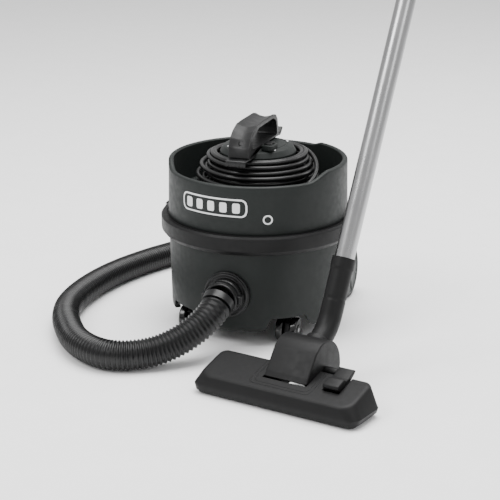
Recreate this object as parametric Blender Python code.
"""Tub vacuum cleaner with hose, mains cord, wand and combination floor tool.

Metres, +Z up, floor at z = 0. The machine's front is -Y. The machine, the floor tool and the wand each hang on
an empty, and their pieces are modelled in that empty's own frame.
"""
import math

import bmesh
import bpy
from mathutils import Matrix, Vector

for old_object in list(bpy.data.objects):
    bpy.data.objects.remove(old_object, do_unlink=True)

# Driving dimensions -----------------------------------------------------------------------------------------
GAP = 0.0003                  # between two pieces that touch

MACHINE_AT = (-0.0706, 0.0834)  # the drum's axis on the floor
DRUM_RADIUS = 0.1455          # at the top
DRUM_FOOT_RADIUS = 0.1415
DRUM_WALL = 0.0035
DRUM_TOP = 0.178
SKIRT_BOTTOM = 0.024
DRUM_FLOOR = 0.050            # underside of the drum's floor, inside the skirt

BAND_RADIUS = 0.158
BAND_BOTTOM = 0.1555
BAND_TOP = 0.1865
BOWL_RADIUS = 0.146
BOWL_INSIDE = 0.1365
BOWL_FLOOR = 0.2125
RIM_TOP = 0.2775
RIM_FRONT = 0.2640            # the rim dips at the front
DOME_RADIUS = 0.0600
DOME_TOP = 0.3010
HANDLE_TOP = 0.3435
HANDLE_WIDTH = 0.036

CASTER_AT = (0.0826, 0.0862)  # beside and in front of the drum's axis
CASTER_TRAIL = 0.012
CASTER_RADIUS = 0.0202
CASTER_WHEEL_WIDTH = 0.0115
REAR_WHEEL_RADIUS = 0.0465
REAR_WHEEL_FACE = 0.117       # outer face, from the middle
REAR_WHEEL_WIDTH = 0.022
REAR_AXLE_Y = 0.153

INLET_HEIGHT = 0.0885
INLET_FRONT = 0.1535
INLET_RADIUS = 0.037

COIL_INSIDE = 0.0655
COIL_OUTSIDE = 0.1040
CORD_RADIUS = 0.00375
GLAND_AT = (0.0, 0.1215, 0.2233)  # behind the coil; the cord leaves it along +X

TOOL_TURN = math.radians(-13.1)
TOOL_AT = (0.1508, -0.3714)   # middle of its front edge, from the drum's axis
TOOL_HALF = 0.140
TOOL_DEPTH = 0.074
KNUCKLE_AT = (0.085, 0.045)   # hinge line: back from the front edge, and up
KNUCKLE_MIDDLE = 0.005        # along the tool
KNUCKLE_RADIUS = 0.044
KNUCKLE_WIDTH = 0.072
NECK_RISE = math.radians(30)  # swivel axis above the horizontal
WAND_LEAN = math.radians(26)  # wand axis from the vertical
NECK_REACH = 0.078            # hinge line to the elbow's bend
WAND_RADIUS = 0.0150
WAND_WALL = 0.0009
NECK_RADIUS = 0.0172
LOWER_TUBE = (0.046, 0.566)   # from the bend, along the wand
UPPER_TUBE = (0.524, 1.040)
SWAGE_LENGTH = 0.046

HOSE_START_RADIUS = 0.0240
HOSE_END_RADIUS = 0.0195
HOSE_ROUTE = [                # from the machine's axis; the first point is the collar's mouth
    (0.000, -0.179, 0.0885), (-0.003, -0.200, 0.077), (-0.018, -0.222, 0.058), (-0.042, -0.245, 0.040),
    (-0.072, -0.268, 0.028), (-0.105, -0.288, 0.0245), (-0.140, -0.296, 0.0240), (-0.176, -0.283, 0.0240),
    (-0.212, -0.254, 0.0238), (-0.243, -0.214, 0.0236), (-0.272, -0.166, 0.0234), (-0.292, -0.116, 0.0232),
    (-0.301, -0.066, 0.0230), (-0.303, -0.012, 0.0228), (-0.299, 0.042, 0.0226), (-0.288, 0.100, 0.0222),
    (-0.268, 0.162, 0.0220), (-0.244, 0.216, 0.0218), (-0.217, 0.268, 0.0215), (-0.186, 0.329, 0.0212),
    (-0.151, 0.394, 0.0210), (-0.109, 0.455, 0.0208), (-0.072, 0.516, 0.0206), (-0.0545, 0.580, 0.0204),
    (-0.0614, 0.645, 0.0202), (-0.090, 0.700, 0.0201), (-0.1345, 0.743, 0.0200),
]
HAND_TUBE_HEADING = math.radians(137)
HAND_TUBE_BEND = math.radians(55)
CUFF_RADIUS = 0.0215


# Materials --------------------------------------------------------------------------------------------------
def make_material(name, colour, roughness, metallic=0.0):
    material = bpy.data.materials.new(name)
    material.use_nodes = True
    shader = material.node_tree.nodes["Principled BSDF"]
    shader.inputs["Base Color"].default_value = (*colour, 1.0)
    shader.inputs["Roughness"].default_value = roughness
    shader.inputs["Metallic"].default_value = metallic
    return material


CHARCOAL = make_material("charcoal_plastic", (0.036, 0.041, 0.039), 0.45)
DARK_GREY = make_material("dark_grey_plastic", (0.030, 0.030, 0.031), 0.5)
HANDLE_GREY = make_material("handle_grey_plastic", (0.060, 0.060, 0.062), 0.5)
WHEEL_GREY = make_material("wheel_grey_plastic", (0.125, 0.132, 0.136), 0.5)
BLACK = make_material("black_plastic", (0.010, 0.010, 0.011), 0.35)
RUBBER = make_material("black_rubber", (0.014, 0.014, 0.014), 0.7)
STEEL = make_material("satin_steel", (0.62, 0.62, 0.62), 0.28, 1.0)
PAPER = make_material("bag_fleece", (0.75, 0.73, 0.68), 0.9)
BRISTLE = make_material("bristle", (0.05, 0.05, 0.05), 0.9)
COPPER = make_material("copper_winding", (0.62, 0.28, 0.12), 0.35, 1.0)


# Frames -----------------------------------------------------------------------------------------------------
def make_frame(name, location, rotation=(0.0, 0.0, 0.0), parent=None):
    empty = bpy.data.objects.new(name, None)
    bpy.context.scene.collection.objects.link(empty)
    empty.parent = parent
    empty.location = location
    empty.rotation_euler = rotation
    return empty


NECK_BEND = Vector((
    KNUCKLE_MIDDLE,
    KNUCKLE_AT[0] + NECK_REACH * math.cos(NECK_RISE),
    KNUCKLE_AT[1] + NECK_REACH * math.sin(NECK_RISE),
))
machine = make_frame("machine_frame", (*MACHINE_AT, 0.0))
floor_tool = make_frame("tool_frame", (*TOOL_AT, 0.0), (0.0, 0.0, TOOL_TURN), machine)
wand = make_frame("wand_frame", NECK_BEND, (-WAND_LEAN, 0.0, 0.0), floor_tool)


# Shape helpers ----------------------------------------------------------------------------------------------
def add(name, mesh_builder, material, parent=machine, origin=(0.0, 0.0, 0.0), guide=False):
    """Turns a bmesh, given in the parent's frame, into an object with its own origin."""
    bmesh.ops.recalc_face_normals(mesh_builder, faces=mesh_builder.faces)
    if mesh_builder.calc_volume(signed=True) < 0:
        bmesh.ops.reverse_faces(mesh_builder, faces=mesh_builder.faces)
    bmesh.ops.translate(mesh_builder, vec=-Vector(origin), verts=mesh_builder.verts)
    mesh = bpy.data.meshes.new(name)
    mesh_builder.to_mesh(mesh)
    mesh_builder.free()
    mesh.materials.append(material)
    mesh.shade_smooth()
    mesh.set_sharp_from_angle(angle=math.radians(32))
    made = bpy.data.objects.new(name, mesh)
    bpy.context.scene.collection.objects.link(made)
    made.parent = parent
    made.location = origin
    if guide:
        made.hide_render = True
        made.display_type = "WIRE"
    return made


def arc(centre, radius, start, end, count):
    """Points on a circle in a profile's plane, angles in degrees."""
    turns = [math.radians(start + (end - start) * step / (count - 1)) for step in range(count)]
    return [(centre[0] + radius * math.cos(turn), centre[1] + radius * math.sin(turn)) for turn in turns]


AXIS_MATRICES = {
    "Z": Matrix.Identity(4),
    "X": Matrix.Rotation(math.radians(90), 4, "Y"),
    "-Y": Matrix.Rotation(math.radians(90), 4, "X"),
}


def turned(profile, steps=32, axis="Z", at=(0.0, 0.0, 0.0)):
    """A solid of revolution from (radius, height) points; it closes on its axis or on itself."""
    built = bmesh.new()
    corners = [built.verts.new((radius, 0.0, height)) for radius, height in profile]
    edges = [built.edges.new(pair) for pair in zip(corners, corners[1:])]
    if profile[0][0] > 1e-6 or profile[-1][0] > 1e-6:
        edges.append(built.edges.new((corners[-1], corners[0])))
    bmesh.ops.spin(built, geom=corners + edges, cent=(0, 0, 0), axis=(0, 0, 1), angle=2 * math.pi, steps=steps,
                   use_merge=True)
    bmesh.ops.remove_doubles(built, verts=built.verts, dist=1e-6)
    built.transform(Matrix.Translation(at) @ AXIS_MATRICES[axis])
    return built


def rod(radius, low, high, axis="Z", at=(0.0, 0.0, 0.0), steps=20):
    return turned([(0.0, low), (radius, low), (radius, high), (0.0, high)], steps, axis, at)


def sleeve(inner, outer, low, high, axis="Z", at=(0.0, 0.0, 0.0), steps=20):
    return turned([(inner, low), (outer, low), (outer, high), (inner, high)], steps, axis, at)


def block(low, high, bevel=0.0, segments=2):
    built = bmesh.new()
    bmesh.ops.create_cube(built, size=1.0)
    size = Vector(high) - Vector(low)
    middle = (Vector(high) + Vector(low)) / 2
    built.transform(Matrix.Translation(middle) @ Matrix.Diagonal((*size, 1.0)))
    if bevel:
        bmesh.ops.bevel(built, geom=built.edges[:], offset=bevel, segments=segments, profile=0.5,
                        affect="EDGES")
    return built


def loft(rings):
    """Skins closed rings of equal point count, and caps both ends."""
    built = bmesh.new()
    loops = [[built.verts.new(point) for point in ring] for ring in rings]
    count = len(loops[0])
    for lower, upper in zip(loops, loops[1:]):
        for index in range(count):
            following = (index + 1) % count
            built.faces.new((lower[index], lower[following], upper[following], upper[index]))
    built.faces.new(loops[0][::-1])
    built.faces.new(loops[-1])
    return built


def prism(outline, low, high):
    """Extrudes a (y, z) outline along X."""
    return loft([[(along, first, second) for first, second in outline] for along in (low, high)])


def pipe(path, side, outer, inner, steps=18):
    """A hollow tube along a path that lies in the plane square to side; open at both ends."""
    built = bmesh.new()
    side = Vector(side).normalized()
    points = [Vector(point) for point in path]
    loops = {outer: [], inner: []}
    for index, point in enumerate(points):
        before = points[max(index - 1, 0)]
        after = points[min(index + 1, len(points) - 1)]
        up = side.cross((after - before).normalized())
        for radius, rings in loops.items():
            turns = [2 * math.pi * step / steps for step in range(steps)]
            rings.append([built.verts.new(point + radius * (math.cos(t) * side + math.sin(t) * up))
                          for t in turns])
    for rings in loops.values():
        for lower, upper in zip(rings, rings[1:]):
            for index in range(steps):
                following = (index + 1) % steps
                built.faces.new((lower[index], lower[following], upper[following], upper[index]))
    for end in (0, -1):
        for index in range(steps):
            following = (index + 1) % steps
            built.faces.new((loops[outer][end][index], loops[outer][end][following],
                             loops[inner][end][following], loops[inner][end][index]))
    return built


def boolean(target, other, operation="DIFFERENCE"):
    modifier = target.modifiers.new(f"{operation.lower()}_{other.name}", "BOOLEAN")
    modifier.operation = operation
    modifier.solver = "EXACT"
    modifier.object = other


def cut(target, name, mesh_builder, parent=machine):
    boolean(target, add(name, mesh_builder, BLACK, parent, guide=True))


def unite(target, name, mesh_builder, parent=machine):
    boolean(target, add(name, mesh_builder, BLACK, parent, guide=True), "UNION")


def on_circle(radius, degrees_from_front, height):
    """A point around the drum's axis; positive angles go towards +X."""
    turn = math.radians(degrees_from_front)
    return Vector((radius * math.sin(turn), -radius * math.cos(turn), height))


def smooth_points(route, spacing):
    """Points at an even spacing on a Catmull-Rom curve through the route."""
    knots = [Vector(point) for point in route]
    knots = [2 * knots[0] - knots[1]] + knots + [2 * knots[-1] - knots[-2]]
    fine = []
    for a, b, c, d in zip(knots, knots[1:], knots[2:], knots[3:]):
        for step in range(24):
            t = step / 24
            fine.append(0.5 * (2 * b + (c - a) * t + (2 * a - 5 * b + 4 * c - d) * t * t
                               + (3 * b - a - 3 * c + d) * t ** 3))
    fine.append(knots[-2])
    lengths = [0.0]
    for first, second in zip(fine, fine[1:]):
        lengths.append(lengths[-1] + (second - first).length)
    count = max(2, round(lengths[-1] / spacing) + 1)
    points = []
    for index in range(count):
        wanted = lengths[-1] * index / (count - 1)
        at = max(i for i, length in enumerate(lengths) if length <= wanted + 1e-9)
        points.append(fine[min(at, len(fine) - 1)])
    return points


def cord(name, route, leaving, radii, material, spacing, resolution=3):
    """A solid round cord along a smooth curve through the route, tapering between two radii.

    Its first end is cut square to the direction in which it leaves.
    """
    curve = bpy.data.curves.new(name, "CURVE")
    curve.dimensions = "3D"
    curve.bevel_depth = radii[0]
    curve.bevel_resolution = resolution
    curve.render_resolution_u = 0
    curve.use_fill_caps = True
    points = smooth_points(route, spacing)
    points.insert(1, points[0] + Vector(leaving) * 1.3 * max(radii) * 0.22)
    spline = curve.splines.new("POLY")
    spline.points.add(len(points) - 1)
    for index, point in enumerate(points):
        share = index / (len(points) - 1)
        spline.points[index].co = (*point, 1.0)
        spline.points[index].radius = 1.0 + share * (radii[1] / radii[0] - 1.0)
    curve.materials.append(material)
    made = bpy.data.objects.new(name, curve)
    bpy.context.scene.collection.objects.link(made)
    made.parent = machine
    return made


# Drum -------------------------------------------------------------------------------------------------------
def make_drum():
    foot_inside = DRUM_FOOT_RADIUS - DRUM_WALL
    profile = [(0.0, DRUM_FLOOR), (foot_inside - 0.001, DRUM_FLOOR), (foot_inside - 0.002, 0.036)]
    profile += [(0.1285, SKIRT_BOTTOM + 0.003), (0.1285, SKIRT_BOTTOM)]
    profile += arc((DRUM_FOOT_RADIUS - 0.012, SKIRT_BOTTOM + 0.012), 0.012, -90, 0, 5)
    profile += [(DRUM_RADIUS - 0.0015, 0.120), (DRUM_RADIUS, DRUM_TOP)]
    profile += [(DRUM_RADIUS - DRUM_WALL, DRUM_TOP), (DRUM_RADIUS - 0.0015 - DRUM_WALL, 0.120)]
    profile += arc((foot_inside - 0.012, DRUM_FLOOR + 0.016), 0.012, 0, -90, 4)
    profile += [(0.0, DRUM_FLOOR + 0.004)]
    drum = add("drum", turned(profile, 48), CHARCOAL)
    notch = [(-0.041, 0.010), (0.041, 0.010), (0.041, 0.022), (0.029, 0.0475), (-0.029, 0.0475)]
    notch += [(-0.041, 0.022)]
    pocket = [(0.0, 0.010), (0.0378, 0.010), (0.0378, 0.022), (0.0352, 0.029), (0.0304, 0.038), (0.0234, 0.0460)]
    pocket += [(0.0, 0.0460)]
    for side, label in ((-1, "left"), (1, "right")):
        built = prism(notch, 0.092, 0.175)
        built.transform(Matrix.Rotation(math.radians(-90 + side * 40), 4, "Z"))
        cut(drum, f"caster_notch_{label}", built)
        at = (side * CASTER_AT[0], -CASTER_AT[1] + CASTER_TRAIL, 0.0)
        cut(drum, f"caster_pocket_{label}", turned(pocket, 32, at=at))
        cut(drum, f"bush_hole_{label}", rod(0.0059, 0.040, 0.080, at=at, steps=16))
    cut(drum, "inlet_hole", rod(0.0240, 0.115, 0.160, "-Y", (0.0, 0.0, INLET_HEIGHT), 32))
    return drum


def make_inlet():
    at = (0.0, 0.0, INLET_HEIGHT)
    profile = [(0.0220, 0.120), (INLET_RADIUS, 0.120), (INLET_RADIUS, INLET_FRONT - 0.002)]
    profile += [(INLET_RADIUS - 0.002, INLET_FRONT), (0.0220, INLET_FRONT)]
    flange = add("inlet_flange", turned(profile, 32, "-Y", at), BLACK)
    cut(flange, "flange_seat", rod(DRUM_RADIUS - 0.0006, 0.02, 0.20, steps=48))
    unite(flange, "inlet_tube", sleeve(0.0200, 0.0237, 0.118, 0.168, "-Y", at, 32))


def make_hose_collar():
    """Turns in the flange by its two lugs, and locks the hose in."""
    low = INLET_FRONT + 0.0025
    profile = [(0.0239, low), (0.0285, low), (0.0285, low + 0.006), (0.0272, low + 0.008), (0.0272, 0.176)]
    profile += [(0.0262, 0.178), (0.0239, 0.178)]
    at = (0.0, 0.0, INLET_HEIGHT)
    collar = add("hose_collar", turned(profile, 32, "-Y", at), BLACK, origin=at)
    for side in (-1, 1):
        lug = block((side * 0.027 - 0.006, -0.172, INLET_HEIGHT - 0.007),
                    (side * 0.027 + 0.006, -low - 0.001, INLET_HEIGHT + 0.007), 0.0015)
        unite(collar, f"collar_lug_{side + 1}", lug)
    cut(collar, "collar_bore", rod(0.0239, 0.150, 0.190, "-Y", at, 32))


def make_casters():
    wheel_offset = CASTER_WHEEL_WIDTH / 2 + 0.0058
    for side, label in ((-1, "left"), (1, "right")):
        wheel_at = Vector((side * CASTER_AT[0], -CASTER_AT[1], CASTER_RADIUS))
        stem_at = (wheel_at.x, wheel_at.y + CASTER_TRAIL, 0.0)
        plate = [(wheel_at.y + y, CASTER_RADIUS + z) for y, z in arc((0.0, 0.0), 0.0175, -150, 60, 10)]
        plate += [(wheel_at.y + 0.019, 0.0445), (wheel_at.y + 0.004, 0.0445), (wheel_at.y - 0.0165, 0.029)]
        body = add(f"caster_body_{label}", prism(plate, wheel_at.x - 0.0050, wheel_at.x + 0.0050), BLACK,
                   origin=stem_at)
        unite(body, f"caster_stem_{label}", rod(0.0055, 0.040, 0.066, at=stem_at, steps=16))
        cut(body, f"axle_hole_{label}", rod(0.0023, -0.01, 0.01, "X", wheel_at, 16))
        add(f"caster_axle_{label}", rod(0.0020, -0.0170, 0.0170, "X", wheel_at, 12), STEEL, origin=stem_at)
        half = CASTER_WHEEL_WIDTH / 2
        tread = [(0.0023, -half), (CASTER_RADIUS - 0.002, -half), (CASTER_RADIUS, -half + 0.002)]
        tread += [(CASTER_RADIUS, half - 0.002), (CASTER_RADIUS - 0.002, half), (0.0023, half)]
        for place, offset in (("left", -wheel_offset), ("right", wheel_offset)):
            at = wheel_at + Vector((offset, 0.0, 0.0))
            add(f"caster_wheel_{label}_{place}", turned(tread, 28, "X", at), BLACK, origin=at)


def make_rear_wheels():
    housing = add("axle_housing", block((-0.090, 0.104, 0.030), (0.090, 0.166, 0.063), 0.004), DARK_GREY)
    cut(housing, "housing_seat", rod(DRUM_RADIUS - 0.0008, 0.0, 0.1, steps=48))
    middle = (0.0, REAR_AXLE_Y, REAR_WHEEL_RADIUS)
    cut(housing, "housing_bore", rod(0.0043, -0.1, 0.1, "X", middle, 16))
    add("rear_axle", rod(0.0040, -0.112, 0.112, "X", middle, 16), STEEL)
    half = REAR_WHEEL_WIDTH / 2
    for side, label in ((-1, "left"), (1, "right")):
        at = (side * (REAR_WHEEL_FACE - half), REAR_AXLE_Y, REAR_WHEEL_RADIUS)
        disc = [(0.0043, -side * half), (0.0400, -side * half), (0.0405, side * half * 0.80)]
        disc += [(0.0380, side * half * 0.96), (0.0, side * half), (0.0, side * half * 0.75)]
        disc += [(0.0043, side * half * 0.75)]
        add(f"rear_wheel_{label}", turned(disc, 36, "X", at), WHEEL_GREY, origin=at)
        tyre = [(0.0405 + GAP, -side * half), (0.0440, -side * half), (REAR_WHEEL_RADIUS, -side * half * 0.75)]
        tyre += [(REAR_WHEEL_RADIUS, side * half * 0.45), (0.0448, side * half * 0.74)]
        tyre += [(0.0420, side * half * 0.84), (0.0405 + GAP + 0.0002, side * half * 0.80)]
        add(f"rear_tyre_{label}", turned(tyre, 36, "X", at), RUBBER, origin=at)


def make_dust_collection():
    bag = [(0.0, 0.058), (0.080, 0.058), (0.096, 0.066), (0.098, 0.100), (0.090, 0.124), (0.060, 0.134)]
    bag += [(0.0, 0.136)]
    add("dust_bag", turned(bag, 32), PAPER)
    cloth = [(0.0, 0.1400), (0.092, 0.1430), (0.1290, 0.1750), (0.1370, DRUM_TOP + GAP)]
    cloth += [(0.1450, DRUM_TOP + GAP), (0.1450, DRUM_TOP + 0.0022), (0.1270, DRUM_TOP + 0.0022)]
    cloth += [(0.090, 0.1460), (0.0, 0.1430)]
    add("cloth_filter", turned(cloth, 36), PAPER)


# Head -------------------------------------------------------------------------------------------------------
def rim_height(x, y):
    """How high the rim stands: it dips across the front and a little at the back."""
    from_front = abs(math.degrees(math.atan2(x, -y)))
    front = min(max((72 - from_front) / 20, 0.0), 1.0)
    back = min(max((from_front - 150) / 8, 0.0), 1.0)
    ease = front * front * (3 - 2 * front)
    return RIM_TOP - ease * (RIM_TOP - RIM_FRONT) - back * 0.005


def make_head_chassis():
    inner = DRUM_RADIUS + 0.0030
    profile = [(inner, BAND_BOTTOM), (BAND_RADIUS - 0.006, BAND_BOTTOM), (BAND_RADIUS, BAND_BOTTOM + 0.007)]
    profile += [(BAND_RADIUS, BAND_TOP - 0.003), (BAND_RADIUS - 0.003, BAND_TOP)]
    profile += [(0.0745, BAND_TOP), (0.0745, BAND_TOP - 0.0055), (inner - 0.002, BAND_TOP - 0.0055)]
    profile += [(inner, BAND_TOP - 0.0075)]
    return add("head_chassis", turned(profile, 48), DARK_GREY)


def make_head_shell():
    foot = BAND_TOP + GAP
    profile = [(BOWL_RADIUS - 0.004, foot), (BOWL_RADIUS, foot), (BOWL_RADIUS - 0.001, 0.255)]
    profile += arc((BOWL_RADIUS - 0.0055, RIM_TOP - 0.0045), 0.0045, 0, 150, 6)
    profile += [(BOWL_INSIDE + 0.0005, 0.262), (BOWL_INSIDE, BOWL_FLOOR + 0.007)]
    profile += [(BOWL_INSIDE - 0.005, BOWL_FLOOR + 0.0015), (0.066, BOWL_FLOOR), (DOME_RADIUS + 0.001, 0.2155)]
    profile += [(DOME_RADIUS, 0.284), (DOME_RADIUS - 0.003, 0.284), (DOME_RADIUS - 0.003, BOWL_FLOOR - 0.003)]
    profile += [(BOWL_INSIDE - 0.003, BOWL_FLOOR - 0.003), (BOWL_RADIUS - 0.004, BOWL_FLOOR - 0.006)]
    built = turned(profile, 48)
    for vertex in built.verts:
        reach = math.hypot(vertex.co.x, vertex.co.y)
        if reach > 0.1 and vertex.co.z > 0.25:
            share = (rim_height(vertex.co.x, vertex.co.y) - 0.225) / (RIM_TOP - 0.225)
            vertex.co.z = 0.225 + (vertex.co.z - 0.225) * share
    return add("head_shell", built, CHARCOAL)


def make_exhaust_grille():
    """A curved louvre panel on the bowl's inner wall."""
    rings = []
    for step in range(9):
        turn = 62 + 52 * step / 8
        outer, inner = BOWL_INSIDE - 0.0006, BOWL_INSIDE - 0.0036
        rings.append([on_circle(outer, turn, 0.222), on_circle(inner, turn, 0.222),
                      on_circle(inner, turn, 0.258), on_circle(outer, turn, 0.258)])
    add("exhaust_grille", loft(rings), BLACK)


def make_dome_and_handle():
    low = 0.2843
    profile = [(DOME_RADIUS - 0.003, low), (DOME_RADIUS + 0.0015, low), (DOME_RADIUS + 0.0015, 0.2880)]
    profile += [(DOME_RADIUS - 0.004, 0.2965), (DOME_RADIUS - 0.014, 0.3000), (0.0, DOME_TOP)]
    profile += [(0.0, DOME_TOP - 0.003), (DOME_RADIUS - 0.015, 0.2970), (DOME_RADIUS - 0.007, 0.2930)]
    dome = add("motor_dome", turned(profile, 36), CHARCOAL)
    unite(dome, "switch_housing", block((0.0215, -0.046, 0.2980), (0.0405, -0.020, 0.3075), 0.0012, 1))
    cut(dome, "rocker_well", block((0.0245, -0.043, 0.3025), (0.0375, -0.023, 0.32)))
    base = DOME_TOP + GAP
    outline = [(-0.092, 0.2945), (-0.0905, 0.312), (-0.083, 0.326), (-0.070, 0.3355)]
    outline += [(-0.053, HANDLE_TOP - 0.001), (-0.030, HANDLE_TOP), (0.024, HANDLE_TOP), (0.038, 0.3405)]
    outline += [(0.046, 0.332), (0.0495, 0.318), (0.0500, base), (-0.060, base), (-0.066, 0.2945)]
    half = HANDLE_WIDTH / 2
    handle = add("carry_handle", prism(outline, -half, half), HANDLE_GREY)
    gap = [(-0.062, base + 0.0045), (-0.076, 0.308), (-0.078, 0.315), (-0.066, 0.3260)]
    gap += [(-0.048, HANDLE_TOP - 0.008), (0.022, HANDLE_TOP - 0.007), (0.036, 0.331), (0.0415, 0.318)]
    gap += [(0.042, base + 0.0045)]
    cut(handle, "finger_gap", prism(gap, -0.03, 0.03))
    cut(handle, "handle_hole", rod(0.0036, 0.06, 0.12, "-Y", (0.0, 0.0, 0.3165), 16))
    rear = [(0.0460, base), (0.066, 0.2985), (0.078, 0.309), (0.0755, 0.3115), (0.064, 0.3035)]
    rear += [(0.0460, 0.3065)]
    unite(handle, "cord_hook_rear", prism(rear, -0.016, 0.016))
    tab = block((-0.017, -0.106, 0.2905), (0.017, -0.0625, 0.2942), 0.001, 1)
    add("cord_tab_front", tab, BLACK)


def make_switch():
    sides = [(-0.0425, 0.3065), (-0.0425, 0.3105), (-0.0330, 0.3085), (-0.0235, 0.3100), (-0.0235, 0.3065)]
    sides += [(-0.0280, 0.3040), (-0.0330, 0.3032), (-0.0380, 0.3040)]
    add("rocker_switch", prism(sides, 0.0249, 0.0371), HANDLE_GREY, origin=(0.031, -0.033, 0.3070))


def make_motor():
    flange = BAND_TOP + GAP
    case = [(0.0300, 0.160), (0.0700, 0.160), (0.0720, 0.163), (0.0720, flange), (0.0840, flange)]
    case += [(0.0840, flange + 0.002), (0.0700, flange + 0.002), (0.0700, 0.163), (0.0300, 0.163)]
    add("fan_case", turned(case, 28), STEEL)
    wheel = [(0.0060, 0.168), (0.0200, 0.168), (0.0640, 0.172), (0.0640, 0.182), (0.0060, 0.182)]
    add("fan_impeller", turned(wheel, 32), STEEL)
    armature = [(0.0, 0.166), (0.0056, 0.166), (0.0056, 0.206), (0.0220, 0.206), (0.0220, 0.240)]
    armature += [(0.0130, 0.243), (0.0130, 0.258), (0.0040, 0.258), (0.0040, 0.272), (0.0, 0.272)]
    add("armature", turned(armature, 24), COPPER)
    foot = flange + 0.002 + GAP
    can = [(0.0075, foot), (0.0800, foot), (0.0800, foot + 0.002), (0.0460, foot + 0.006), (0.0460, 0.268)]
    can += [(0.0200, 0.276), (0.0065, 0.276), (0.0065, 0.273), (0.0200, 0.273), (0.0430, 0.265)]
    can += [(0.0430, foot + 0.006), (0.0075, foot + 0.003)]
    add("motor_can", turned(can, 28), STEEL)


CLIP_AT = 100                 # degrees from the front, on both sides
CLIP_HINGE_RADIUS = BAND_RADIUS + 0.0050
CLIP_HINGE_HEIGHT = 0.179


def at_clip(mesh_builder, side):
    """Turns a shape built at the machine's front round to the clip on one side."""
    mesh_builder.transform(Matrix.Rotation(math.radians(side * CLIP_AT), 4, "Z"))
    return mesh_builder


def make_clips(chassis):
    """Plates that hang from the band and snap over the drum's edge."""
    front = (0.0, -CLIP_HINGE_RADIUS, CLIP_HINGE_HEIGHT)
    for side, label in ((-1, "left"), (1, "right")):
        hinge = on_circle(CLIP_HINGE_RADIUS, side * CLIP_AT, CLIP_HINGE_HEIGHT)
        outline = [(-0.0017, 0.0040), (0.0030, 0.0040), (0.0040, 0.0), (0.0036, -0.030), (0.0010, -0.036)]
        outline += [(-0.0030, -0.036), (-0.0030, -0.0335), (-0.0010, -0.030), (-0.0017, -0.006)]
        outline = [(-CLIP_HINGE_RADIUS - reach, CLIP_HINGE_HEIGHT + height) for reach, height in outline]
        clip = add(f"lid_clip_{label}", at_clip(prism(outline, -0.016, 0.016), side), DARK_GREY, origin=hinge)
        cut(clip, f"clip_bore_{label}", at_clip(rod(0.0014, -0.03, 0.03, "X", front, 12), side))
        for along in (-0.0190, 0.0190):
            lug = block((along - 0.0025, front[1] - 0.0028, 0.1735),
                        (along + 0.0025, -BAND_RADIUS + 0.004, 0.1820), 0.0008, 1)
            unite(chassis, f"clip_lug_{label}_{along > 0}", at_clip(lug, side))
        cut(chassis, f"lug_bore_{label}", at_clip(rod(0.0014, -0.03, 0.03, "X", front, 12), side))
        pin = at_clip(rod(0.0011, -0.0220, 0.0220, "X", front, 12), side)
        add(f"clip_pin_{label}", pin, STEEL, origin=hinge)


def make_mains_cord():
    low = BOWL_FLOOR + 0.004
    coil = [(COIL_INSIDE, low), (COIL_OUTSIDE, low), (COIL_OUTSIDE, 0.262), (0.0985, 0.274), (0.0880, 0.287)]
    coil += [(0.0740, 0.2885), (COIL_INSIDE, 0.284)]
    add("mains_cord_coil", turned(coil, 36), BLACK)
    gland = [(0.0, -0.0140), (0.0085, -0.0140), (0.0085, -0.0080), (0.0062, -0.0060), (0.0048, 0.0160)]
    gland += [(0.0, 0.0160)]
    add("cord_strain_relief", turned(gland, 20, "X", GLAND_AT), RUBBER)
    lead = [(0.0164, 0.1215, 0.2233), (0.030, 0.1200, 0.2233), (0.044, 0.1145, 0.2235), (0.057, 0.1035, 0.2240)]
    lead += [(0.0665, 0.0925, 0.2245), (0.0730, 0.0805, 0.2250)]
    cord("mains_cord_lead", lead, (1.0, 0.0, 0.0), (CORD_RADIUS, CORD_RADIUS), BLACK, 0.012, 2)
    plug_turn = -24
    plug = block((-0.024, -0.1330, BOWL_FLOOR + 0.0040), (0.024, -0.1075, 0.2465), 0.004)
    plug.transform(Matrix.Rotation(math.radians(plug_turn), 4, "Z"))
    add("mains_plug", plug, BLACK)


# Floor tool -------------------------------------------------------------------------------------------------
def tool_outline(half, front, back, height, front_corner, back_corner):
    """A rounded plan outline of the tool; height may be a function of the distance back."""
    corners = ((half, front, front_corner, -90), (half, back, back_corner, 0),
               (-half, back, back_corner, 90), (-half, front, front_corner, 180))
    points = []
    for x, y, radius, start in corners:
        centre = (x - math.copysign(radius, x), y + (radius if y == front else -radius))
        for px, py in arc(centre, radius, start, start + 90, 6):
            points.append((px, py, height(py) if callable(height) else height))
    return points


HINGE_BOSSES = (              # along the tool, left and right of the knuckle
    (KNUCKLE_MIDDLE - 0.050, KNUCKLE_MIDDLE - KNUCKLE_WIDTH / 2 - 0.0008),
    (KNUCKLE_MIDDLE + KNUCKLE_WIDTH / 2 + 0.0008, KNUCKLE_MIDDLE + 0.057),
)
WHEELS_ALONG = (("left", -0.056), ("right", 0.066))
WHEEL_BACK = 0.0865
TOOL_WHEEL_RADIUS = 0.0105
PEDAL_AXIS = (0.054, 0.0410)  # back and up


def tool_top(back):
    return 0.0325 + 0.26 * (back - 0.006)


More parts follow.
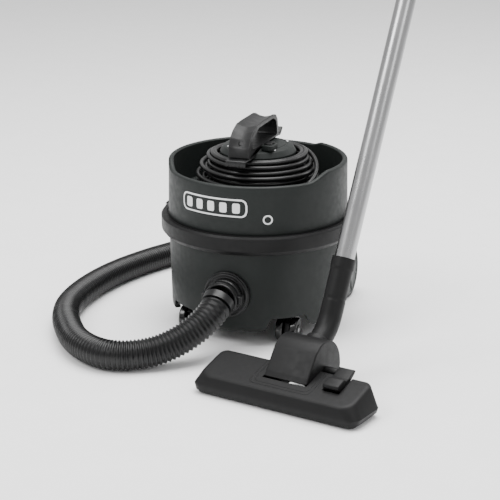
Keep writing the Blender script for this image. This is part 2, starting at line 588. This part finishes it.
def make_tool_shell():
    rings = [
        tool_outline(TOOL_HALF - 0.004, 0.0, TOOL_DEPTH, 0.0062, 0.014, 0.010),
        tool_outline(TOOL_HALF, -0.001, TOOL_DEPTH, 0.0150, 0.018, 0.012),
        tool_outline(TOOL_HALF - 0.012, 0.002, TOOL_DEPTH - 0.003, lambda y: tool_top(y) - 0.002, 0.020, 0.012),
        tool_outline(TOOL_HALF - 0.0145, 0.0055, TOOL_DEPTH - 0.006, tool_top, 0.018, 0.011),
    ]
    shell = add("tool_shell", loft(rings), DARK_GREY, floor_tool)
    inner = [
        tool_outline(TOOL_HALF - 0.0065, 0.0030, TOOL_DEPTH - 0.003, 0.0, 0.012, 0.008),
        tool_outline(TOOL_HALF - 0.0065, 0.0030, TOOL_DEPTH - 0.003, 0.0150, 0.012, 0.008),
        tool_outline(TOOL_HALF - 0.0160, 0.0060, TOOL_DEPTH - 0.006, lambda y: tool_top(y) - 0.0040, 0.014, 0.010),
    ]
    cut(shell, "tool_cavity", loft(inner), floor_tool)
    middle = KNUCKLE_MIDDLE
    half = KNUCKLE_WIDTH / 2 + 0.0010
    hinge = (0.0, *KNUCKLE_AT)
    cut(shell, "knuckle_recess", rod(0.0575, middle - half, middle + half, "X", hinge, 48), floor_tool)
    for label, (low, high) in zip(("left", "right"), HINGE_BOSSES):
        arm_low = high - 0.006 if label == "left" else low
        arm = block((arm_low, TOOL_DEPTH - 0.006, 0.0180),
                    (arm_low + 0.006, KNUCKLE_AT[0] + 0.005, KNUCKLE_AT[1]))
        unite(shell, f"boss_arm_{label}", arm, floor_tool)
        unite(shell, f"hinge_boss_{label}", rod(0.0068, low, high, "X", hinge, 20), floor_tool)
    cut(shell, "boss_bore", rod(0.0040, -0.08, 0.08, "X", hinge, 16), floor_tool)
    axle_at = (0.0, WHEEL_BACK, TOOL_WHEEL_RADIUS)
    for label, along in WHEELS_ALONG:
        yoke = block((along - 0.0100, TOOL_DEPTH - 0.006, 0.0068),
                     (along + 0.0100, WHEEL_BACK + 0.004, 0.0280))
        unite(shell, f"wheel_yoke_{label}", yoke, floor_tool)
        slot = block((along - 0.0056, TOOL_DEPTH + 0.001, -0.01), (along + 0.0056, 0.12, 0.0240))
        cut(shell, f"yoke_slot_{label}", slot, floor_tool)
        bore = rod(0.0021, along - 0.015, along + 0.015, "X", axle_at, 12)
        cut(shell, f"yoke_bore_{label}", bore, floor_tool)
    for label, low in (("left", 0.0625), ("right", 0.0952)):
        bearing = block((low, PEDAL_AXIS[0] - 0.006, 0.0365), (low + 0.0043, PEDAL_AXIS[0] + 0.006, 0.0430))
        unite(shell, f"pedal_bearing_{label}", bearing, floor_tool)
    cut(shell, "pedal_well", block((0.0668, 0.030, 0.0345), (0.0952, 0.090, 0.080)), floor_tool)
    cut(shell, "pedal_pin_bore", rod(0.0021, 0.0638, 0.0982, "X", (0.0, *PEDAL_AXIS), 12), floor_tool)
    return shell


def make_tool_base():
    base_rings = [tool_outline(TOOL_HALF - 0.009, 0.0045, TOOL_DEPTH - 0.004, 0.0022, 0.010, 0.008),
                  tool_outline(TOOL_HALF - 0.009, 0.0045, TOOL_DEPTH - 0.004, 0.0059, 0.010, 0.008)]
    sole = add("sole_plate", loft(base_rings), STEEL, floor_tool)
    mouth = block((-0.032, 0.0200, -0.01), (0.042, 0.0400, 0.02))
    cut(sole, "suction_mouth", mouth, floor_tool)
    for label, back in (("front", 0.0125), ("rear", 0.0580)):
        slot = block((-0.118, back - 0.0035, -0.01), (0.118, back + 0.0035, 0.02))
        cut(sole, f"brush_slot_{label}", slot, floor_tool)
        strip = block((-0.1165, back - 0.0028, 0.0045), (0.1165, back + 0.0028, 0.0130))
        add(f"brush_strip_{label}", strip, BRISTLE, floor_tool)
    frame = add("brush_lifter", block((-0.1165, 0.0097, 0.0133), (-0.0400, 0.0608, 0.0150)), BLACK, floor_tool)
    unite(frame, "lifter_right", block((0.0500, 0.0097, 0.0133), (0.1165, 0.0608, 0.0150)), floor_tool)
    unite(frame, "lifter_front", block((-0.0600, 0.0097, 0.0133), (0.0600, 0.0150, 0.0150)), floor_tool)


def make_knuckle():
    back, up = KNUCKLE_AT
    middle = KNUCKLE_MIDDLE
    half = KNUCKLE_WIDTH / 2
    outline = [(0.0315, 0.0405), (0.036, 0.0475), (0.060, 0.0790), (0.066, 0.0850)]
    outline += arc(KNUCKLE_AT, KNUCKLE_RADIUS, 108, -40, 14)
    outline += [(0.0640, 0.0165), (0.0520, 0.0290), (0.0345, 0.0380)]
    built = prism(outline, middle - half, middle + half)
    side_edges = [edge for edge in built.edges if abs(edge.verts[0].co.x - edge.verts[1].co.x) < 1e-6]
    bmesh.ops.bevel(built, geom=side_edges, offset=0.002, segments=1, profile=0.5, affect="EDGES")
    hinge = (middle, back, up)
    knuckle = add("knuckle_hood", built, DARK_GREY, floor_tool, origin=hinge)
    neck_turn = Matrix.Translation((middle, back, up)) @ Matrix.Rotation(-math.pi / 2 + NECK_RISE, 4, "X")
    socket = rod(NECK_RADIUS + 0.0005, 0.0340, 0.07, steps=24)
    socket.transform(neck_turn)
    cut(knuckle, "neck_socket", socket, floor_tool)
    duct = rod(0.0125, 0.0, 0.05, steps=24)
    duct.transform(neck_turn)
    cut(knuckle, "neck_duct", duct, floor_tool)
    duct_foot = block((middle - 0.020, 0.040, 0.0), (middle + 0.020, 0.094, 0.052))
    cut(knuckle, "knuckle_duct", duct_foot, floor_tool)
    for label, (low, high) in zip(("left", "right"), HINGE_BOSSES):
        pin_low, pin_high = (low + 0.003, high + 0.009) if label == "left" else (low - 0.009, high - 0.003)
        seat = rod(0.0040, pin_low - 0.0005, pin_high + 0.0005, "X", (0.0, back, up), 16)
        cut(knuckle, f"pin_seat_{label}", seat, floor_tool)
        add(f"hinge_pin_{label}", rod(0.0036, pin_low, pin_high, "X", (0.0, back, up), 14), STEEL, floor_tool)
    cradle = arc(KNUCKLE_AT, 0.0568, 188, 203, 6)
    cradle += arc(KNUCKLE_AT, 0.0548, 203, 188, 6)
    add("knuckle_cradle", prism(cradle, middle - half, middle + half), BLACK, floor_tool)


def make_neck():
    back, up = KNUCKLE_AT
    middle = KNUCKLE_MIDDLE
    stub = Vector((0.0, math.cos(NECK_RISE), math.sin(NECK_RISE)))
    rise = Vector((0.0, math.sin(WAND_LEAN), math.cos(WAND_LEAN)))
    hinge = Vector((middle, back, up))
    bend = 0.020
    path = [hinge + stub * 0.0365, hinge + stub * 0.050]
    first, last = NECK_BEND - stub * bend, NECK_BEND + rise * bend
    for step in range(7):
        t = step / 6
        path.append(first * (1 - t) ** 2 + NECK_BEND * 2 * t * (1 - t) + last * t * t)
    path += [NECK_BEND + rise * 0.060, NECK_BEND + rise * 0.106]
    elbow = pipe(path, (1, 0, 0), NECK_RADIUS, WAND_RADIUS + GAP, 20)
    add("neck_elbow", elbow, DARK_GREY, floor_tool, origin=hinge)
    hook = block((middle - 0.006, 0.0215, 0.004), (middle + 0.006, 0.0250, 0.034), 0.0008, 1)
    hook.transform(Matrix.Translation((-middle, 0.0, 0.0)))
    parked = add("parking_hook", hook, BLACK, wand)
    web = block((-0.0025, NECK_RADIUS + 0.0004, 0.016), (0.0025, 0.0225, 0.033))
    unite(parked, "hook_web", web, wand)


def make_pedal():
    outline = [(0.0340, 0.0400), (0.0290, 0.0440), (0.0300, 0.0490), (0.0460, 0.0540), (0.0500, 0.0535)]
    outline += [(0.0540, 0.0505), (0.0600, 0.0515), (0.0780, 0.0590), (0.0810, 0.0570), (0.0780, 0.0535)]
    outline += [(0.0640, 0.0440), (0.0575, 0.0372), (0.0505, 0.0372)]
    origin = (0.081, *PEDAL_AXIS)
    pedal = add("brush_pedal", prism(outline, 0.0680, 0.0940), DARK_GREY, floor_tool, origin=origin)
    cut(pedal, "pedal_bore", rod(0.0021, 0.06, 0.10, "X", (0.0, *PEDAL_AXIS), 12), floor_tool)
    pin = rod(0.0018, 0.0642, 0.0978, "X", (0.0, *PEDAL_AXIS), 12)
    add("pedal_pin", pin, STEEL, floor_tool, origin=origin)


def make_tool_wheels():
    """Each wheel is moulded with its stub axles."""
    radius = TOOL_WHEEL_RADIUS
    profile = [(0.0, -0.0095), (0.0018, -0.0095), (0.0018, -0.0045), (radius - 0.0012, -0.0045)]
    profile += [(radius, -0.0033)]
    profile += [(reach, -height) for reach, height in reversed(profile)]
    for label, along in WHEELS_ALONG:
        at = (along, WHEEL_BACK, radius)
        add(f"tool_wheel_{label}", turned(profile, 24, "X", at), RUBBER, floor_tool, origin=at)


# Wand, hose and hand tube -----------------------------------------------------------------------------------
def make_wand():
    inner = WAND_RADIUS - WAND_WALL
    low, high = LOWER_TUBE
    swage = WAND_RADIUS + GAP
    lower = [(inner, low), (WAND_RADIUS, low), (WAND_RADIUS, high - SWAGE_LENGTH - 0.004)]
    lower += [(swage + WAND_WALL, high - SWAGE_LENGTH), (swage + WAND_WALL, high), (swage, high)]
    lower += [(swage, high - SWAGE_LENGTH), (inner, high - SWAGE_LENGTH - 0.004)]
    add("wand_tube_lower", turned(lower, 32), STEEL, wand)
    low, high = UPPER_TUBE
    add("wand_tube_upper", sleeve(inner, WAND_RADIUS, low, high, steps=32), STEEL, wand)


def make_hose():
    radii = (HOSE_START_RADIUS, HOSE_END_RADIUS)
    cord("suction_hose", HOSE_ROUTE, (0.0, -1.0, 0.0), radii, BLACK, 0.024, 3)
    end = Vector(HOSE_ROUTE[-1])
    level = CUFF_RADIUS + GAP
    heading = Vector((math.cos(HAND_TUBE_HEADING), math.sin(HAND_TUBE_HEADING), 0.0))
    start = Vector((end.x, end.y, level)) + heading * 0.0016
    aim = Matrix.Rotation(HAND_TUBE_HEADING, 4, "Z") @ Matrix.Rotation(math.radians(90), 4, "Y")
    profile = [(0.0172, 0.0), (CUFF_RADIUS, 0.0), (CUFF_RADIUS, 0.044), (0.0185, 0.052), (0.0172, 0.052)]
    cuff = turned(profile, 32)
    cuff.transform(Matrix.Translation(start) @ aim)
    add("hose_cuff", cuff, BLACK)
    path = [start + heading * 0.020, start + heading * 0.085, start + heading * 0.150]
    centre = path[-1] + Matrix.Rotation(math.radians(90), 3, "Z") @ heading * 0.070
    for step in range(1, 9):
        turn = Matrix.Rotation(HAND_TUBE_BEND * step / 8, 3, "Z")
        path.append(centre + turn @ (path[2] - centre))
    last = Matrix.Rotation(HAND_TUBE_BEND, 3, "Z") @ heading
    path += [path[-1] + last * 0.060, path[-1] + last * 0.110]
    tube = add("hand_tube", pipe(path, (0, 0, 1), 0.0160, 0.0150, 18), STEEL)
    vent = block((-0.009, -0.004, 0.012), (0.009, 0.004, 0.020))
    vent.transform(Matrix.Translation(start + heading * 0.122) @ Matrix.Rotation(HAND_TUBE_HEADING, 4, "Z"))
    cut(tube, "air_vent", vent)
    ring_at = start + heading * 0.104
    ring = turned([(0.0164, -0.013), (0.0190, -0.013), (0.0205, -0.009), (0.0205, 0.009), (0.0190, 0.013),
                   (0.0164, 0.013)], 32)
    ring.transform(Matrix.Translation(ring_at) @ aim)
    add("air_slide", ring, BLACK, origin=ring_at)


make_drum()
make_inlet()
make_hose_collar()
make_casters()
make_rear_wheels()
make_dust_collection()
head_chassis = make_head_chassis()
make_head_shell()
make_exhaust_grille()
make_dome_and_handle()
make_switch()
make_motor()
make_clips(head_chassis)
make_mains_cord()
make_tool_shell()
make_tool_base()
make_knuckle()
make_neck()
make_pedal()
make_tool_wheels()
make_wand()
make_hose()
